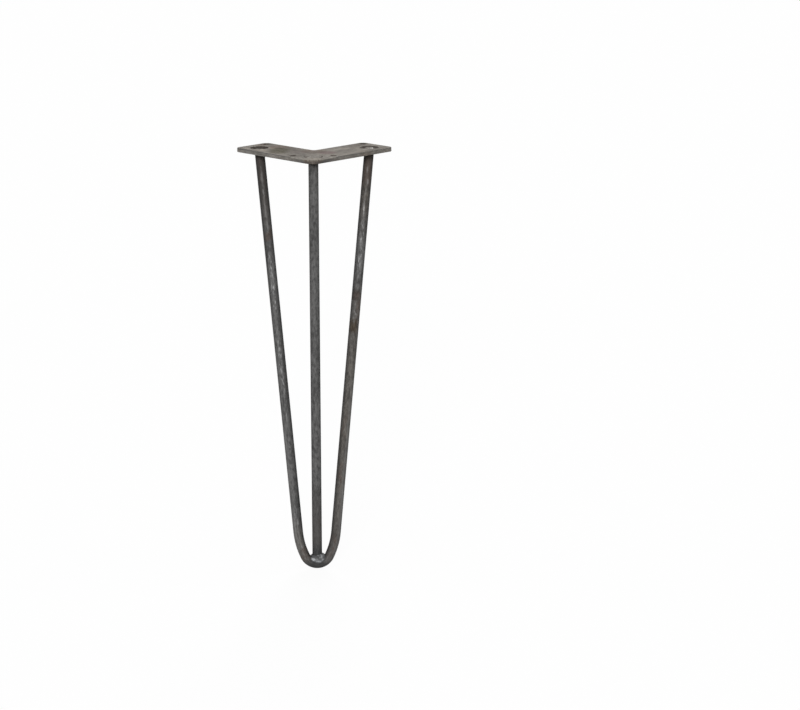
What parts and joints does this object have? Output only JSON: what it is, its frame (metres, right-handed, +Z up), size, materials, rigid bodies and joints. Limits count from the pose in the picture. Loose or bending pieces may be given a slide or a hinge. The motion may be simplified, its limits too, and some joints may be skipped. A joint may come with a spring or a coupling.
{
  "type": "hairpin table leg",
  "caption": "Welded raw-steel hairpin table leg: a bent round bar and a straight centre bar meet in a rounded foot and hang from a chevron mounting plate with screw holes.",
  "frame": {"origin": "midway between the two screw holes by the plate's outer corner, on the plate's top face", "axes": "+Z up, out of the plate's top face; X across the leg, with X = 0 its plane of symmetry; -Y towards the plate's outer corner"},
  "size_m": [0.1498, 0.1118, 0.4059],
  "materials": {
    "plate_steel": "raw hot-rolled plate, worn mill scale with rubbed edges and faint heat tint",
    "bar_steel": "raw hot-rolled bar, dark mill scale with drawn streaks and light rust",
    "weld_metal": "bare weld metal, lumpy and bright"
  },
  "bodies": {
    "root": {"mounting_plate": "plate_steel", "hairpin_rod": "bar_steel", "centre_rod": "bar_steel", "left_plug_weld": "weld_metal", "right_plug_weld": "weld_metal", "centre_plug_weld": "weld_metal", "foot_weld": "weld_metal"}
  },
  "joints": []
}
